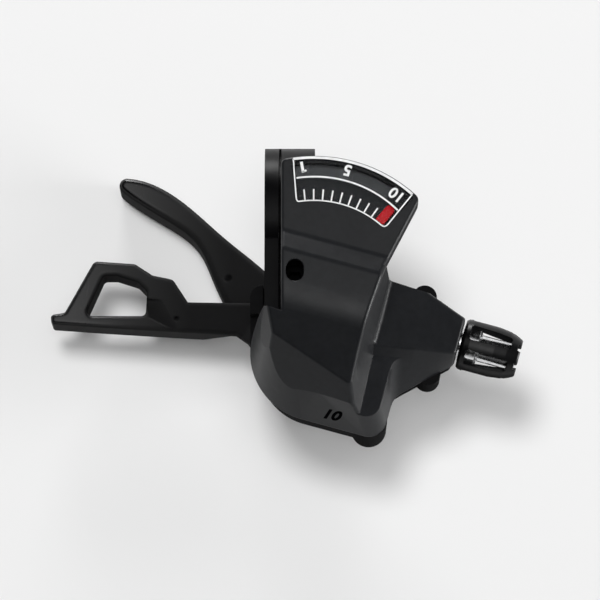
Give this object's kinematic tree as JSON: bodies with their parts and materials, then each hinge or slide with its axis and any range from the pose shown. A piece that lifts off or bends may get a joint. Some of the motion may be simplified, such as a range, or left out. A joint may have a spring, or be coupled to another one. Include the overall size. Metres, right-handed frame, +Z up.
{
  "type": "trigger gear shifter",
  "caption": "Bicycle gear shifter for a flat handlebar: clamp band, housing with a gear display window, thumb winding lever, looped release lever and a caged cable adjuster.",
  "frame": {"origin": "centre of the clamp band, on the axis of the handlebar", "axes": "+X along the handlebar towards its middle, where the cable leaves; +Y towards the rider; +Z up"},
  "size_m": [0.0953, 0.0598, 0.0468],
  "materials": {
    "cover_plastic": "fine satin grey-black",
    "base_plastic": "matt black",
    "lever_plastic": "satin grey-black",
    "lever_alloy": "satin black",
    "black_alloy": "satin black",
    "black_steel": "blacked",
    "steel": "plain",
    "spring_steel": "drawn wire",
    "bright_alloy": "bright",
    "bearing_plastic": "smooth",
    "dial": "printed grey",
    "needle_red": "glossy red",
    "lens": "clear plastic",
    "seal_rubber": "matt"
  },
  "bodies": {
    "housing": {"clamp_band": "black_alloy", "clamp_bolt": "black_steel", "base_bracket": "black_alloy", "upper_cover": "cover_plastic", "lower_cover": "base_plastic", "cover_screws": "steel", "window_lens": "lens", "dial_tray": "base_plastic", "dial_plate": "dial", "needle_pin": "steel", "main_axle": "steel", "axle_washer": "steel", "axle_bolt": "black_steel", "thrust_washer": "bearing_plastic", "hold_pawl_pin": "steel", "hold_pawl_spring": "spring_steel", "winder_spring": "spring_steel"},
    "winder": {"winder_drum": "bearing_plastic", "ratchet_wheel": "steel"},
    "needle": {"needle": "needle_red"},
    "main_lever": {"main_lever": "lever_plastic", "main_bush": "bearing_plastic", "main_lever_spring": "spring_steel", "drive_pawl_pin": "steel", "drive_pawl_spring": "spring_steel"},
    "drive_pawl": {"drive_pawl": "steel"},
    "release_lever": {"release_lever": "lever_alloy", "release_bush": "bearing_plastic", "release_spring": "spring_steel", "release_plate": "steel"},
    "hold_pawl": {"hold_pawl": "steel"},
    "adjuster_slide": {"adjuster_seal": "seal_rubber"},
    "adjuster": {"adjuster_knob": "base_plastic", "adjuster_barrel": "bright_alloy"}
  },
  "joints": [
    {"name": "winder_turn", "type": "hinge", "parent": "housing", "child": "winder", "pos_m": [0.0061, -0.028, -0.0014], "axis": [0, 0, 1], "range_deg": [0, 162]},
    {"name": "needle_swing", "type": "hinge", "parent": "housing", "child": "needle", "pos_m": [0.0047, -0.0213, 0.0172], "axis": [0, 0, 1], "range_deg": [0, 45]},
    {"name": "main_lever_push", "type": "hinge", "parent": "housing", "child": "main_lever", "pos_m": [0.0061, -0.028, -0.0162], "axis": [0, 0, 1], "range_deg": [0, 54], "stiffness_Nm_per_rad": 0.12, "springref_deg": -22.92},
    {"name": "release_lever_swing", "type": "hinge", "parent": "housing", "child": "release_lever", "pos_m": [0.0061, -0.028, -0.0119], "axis": [0, 0, 1], "range_deg": [-12, 12], "stiffness_Nm_per_rad": 0.3},
    {"name": "drive_pawl_tilt", "type": "hinge", "parent": "main_lever", "child": "drive_pawl", "pos_m": [-0.0009, -0.03397, -0.0055], "axis": [0, 0, 1], "range_deg": [0, 13], "stiffness_Nm_per_rad": 0.004},
    {"name": "hold_pawl_tilt", "type": "hinge", "parent": "housing", "child": "hold_pawl", "pos_m": [0.01605, -0.03553, -0.0055], "axis": [0, 0, 1], "range_deg": [0, 7], "stiffness_Nm_per_rad": 0.004},
    {"name": "adjuster_travel", "type": "slide", "parent": "housing", "child": "adjuster_slide", "axis": [0.9636, -0.2672, 0], "range_m": [0, 0.0016]},
    {"name": "adjuster_turn", "type": "hinge", "parent": "adjuster_slide", "child": "adjuster", "pos_m": [0.04057, -0.02718, -0.0014], "axis": [0.9636, -0.2672, 0], "range_deg": [0, 720]}
  ],
  "couplings": [
    {"joint": "needle_swing", "follows": "winder_turn", "ratio": 0.2777},
    {"joint": "adjuster_turn", "follows": "adjuster_travel", "rad_per_m": 7853}
  ]
}
